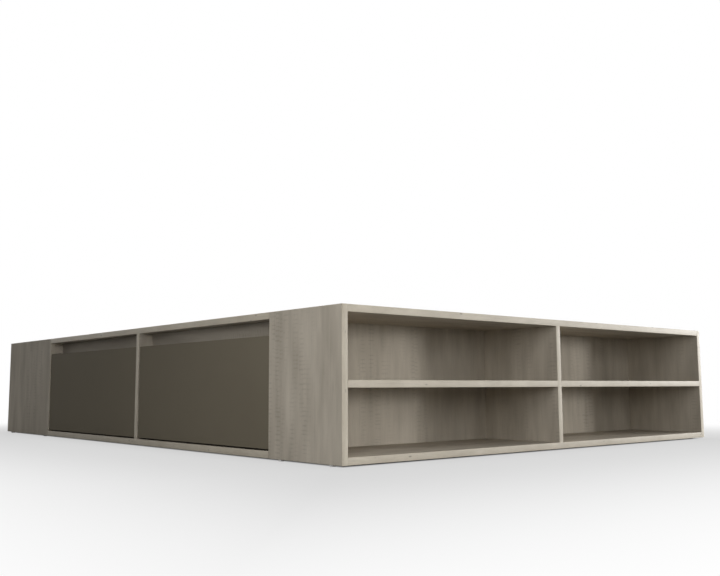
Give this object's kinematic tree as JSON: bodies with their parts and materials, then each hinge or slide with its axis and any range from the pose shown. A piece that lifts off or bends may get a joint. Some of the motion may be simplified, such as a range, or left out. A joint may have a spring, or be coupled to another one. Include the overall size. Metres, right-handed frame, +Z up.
{
  "type": "storage bed base",
  "caption": "Low panel-built storage bed base with open shelves across the foot end, drawers along both long sides and a slatted deck on top.",
  "frame": {"origin": "on the floor, under the middle of the base", "axes": "+Z up, +Y along the length from the open foot end to the head end, +X across to the right side"},
  "size_m": [1.46, 2.008, 0.336],
  "materials": {
    "oak_board": "pale grey oak melamine, vertical grain",
    "taupe_front": "plain matt taupe melamine",
    "edge_band": "thin cream oak-print edge band",
    "drawer_board": "warm grey foil with a fine linen print",
    "hardboard": "thin hardboard, linen print above and bare brown below",
    "pine": "planed pine",
    "beech": "fluted beech dowel",
    "zinc_steel": "zinc-plated rolled steel",
    "cam_metal": "die-cast zinc",
    "glide_plastic": "moulded pale grey plastic"
  },
  "bodies": {
    "carcass": {"bay_divider_left": "oak_board", "bay_divider_right": "oak_board", "bottom_rail_left": "oak_board", "bottom_rail_right": "oak_board", "cam_bolts": "cam_metal", "cam_locks": "cam_metal", "centre_spine": "oak_board", "dowels": "beech", "edge_bands": "edge_band", "floor_glides": "glide_plastic", "foot_back": "oak_board", "foot_bottom": "oak_board", "foot_divider": "oak_board", "foot_shelf_left": "oak_board", "foot_shelf_right": "oak_board", "foot_side_left": "oak_board", "foot_side_right": "oak_board", "foot_top": "oak_board", "grip_rails_left": "oak_board", "grip_rails_right": "oak_board", "head_panel": "oak_board", "head_partition": "oak_board", "head_rail_left": "oak_board", "head_rail_right": "oak_board", "head_side_left": "oak_board", "head_side_right": "oak_board", "head_spine": "oak_board", "slat_bearers": "pine", "slats": "pine", "slide_outer_members": "zinc_steel", "top_rail_left": "oak_board", "top_rail_right": "oak_board"},
    "left_foot_drawer": {"left_foot_drawer_back": "drawer_board", "left_foot_drawer_floor": "hardboard", "left_foot_drawer_front": "taupe_front", "left_foot_drawer_runners": "zinc_steel", "left_foot_drawer_wall_foot": "drawer_board", "left_foot_drawer_wall_head": "drawer_board"},
    "left_foot_slide": {"left_foot_slide_middles": "zinc_steel"},
    "left_head_drawer": {"left_head_drawer_back": "drawer_board", "left_head_drawer_floor": "hardboard", "left_head_drawer_front": "taupe_front", "left_head_drawer_runners": "zinc_steel", "left_head_drawer_wall_foot": "drawer_board", "left_head_drawer_wall_head": "drawer_board"},
    "left_head_slide": {"left_head_slide_middles": "zinc_steel"},
    "right_foot_drawer": {"right_foot_drawer_back": "drawer_board", "right_foot_drawer_floor": "hardboard", "right_foot_drawer_front": "taupe_front", "right_foot_drawer_runners": "zinc_steel", "right_foot_drawer_wall_foot": "drawer_board", "right_foot_drawer_wall_head": "drawer_board"},
    "right_foot_slide": {"right_foot_slide_middles": "zinc_steel"},
    "right_head_drawer": {"right_head_drawer_back": "drawer_board", "right_head_drawer_floor": "hardboard", "right_head_drawer_front": "taupe_front", "right_head_drawer_runners": "zinc_steel", "right_head_drawer_wall_foot": "drawer_board", "right_head_drawer_wall_head": "drawer_board"},
    "right_head_slide": {"right_head_slide_middles": "zinc_steel"}
  },
  "joints": [
    {"name": "left_foot_drawer_pull", "type": "slide", "parent": "carcass", "child": "left_foot_drawer", "axis": [-1, 0, 0], "range_m": [0, 0.56]},
    {"name": "left_foot_slide_extension", "type": "slide", "parent": "carcass", "child": "left_foot_slide", "axis": [-1, 0, 0], "range_m": [0, 0.28]},
    {"name": "left_head_drawer_pull", "type": "slide", "parent": "carcass", "child": "left_head_drawer", "axis": [-1, 0, 0], "range_m": [0, 0.56]},
    {"name": "left_head_slide_extension", "type": "slide", "parent": "carcass", "child": "left_head_slide", "axis": [-1, 0, 0], "range_m": [0, 0.28]},
    {"name": "right_foot_drawer_pull", "type": "slide", "parent": "carcass", "child": "right_foot_drawer", "axis": [1, 0, 0], "range_m": [0, 0.56]},
    {"name": "right_foot_slide_extension", "type": "slide", "parent": "carcass", "child": "right_foot_slide", "axis": [1, 0, 0], "range_m": [0, 0.28]},
    {"name": "right_head_drawer_pull", "type": "slide", "parent": "carcass", "child": "right_head_drawer", "axis": [1, 0, 0], "range_m": [0, 0.56]},
    {"name": "right_head_slide_extension", "type": "slide", "parent": "carcass", "child": "right_head_slide", "axis": [1, 0, 0], "range_m": [0, 0.28]}
  ],
  "couplings": [
    {"joint": "left_foot_slide_extension", "follows": "left_foot_drawer_pull", "ratio": 0.5},
    {"joint": "left_head_slide_extension", "follows": "left_head_drawer_pull", "ratio": 0.5},
    {"joint": "right_foot_slide_extension", "follows": "right_foot_drawer_pull", "ratio": 0.5},
    {"joint": "right_head_slide_extension", "follows": "right_head_drawer_pull", "ratio": 0.5}
  ]
}
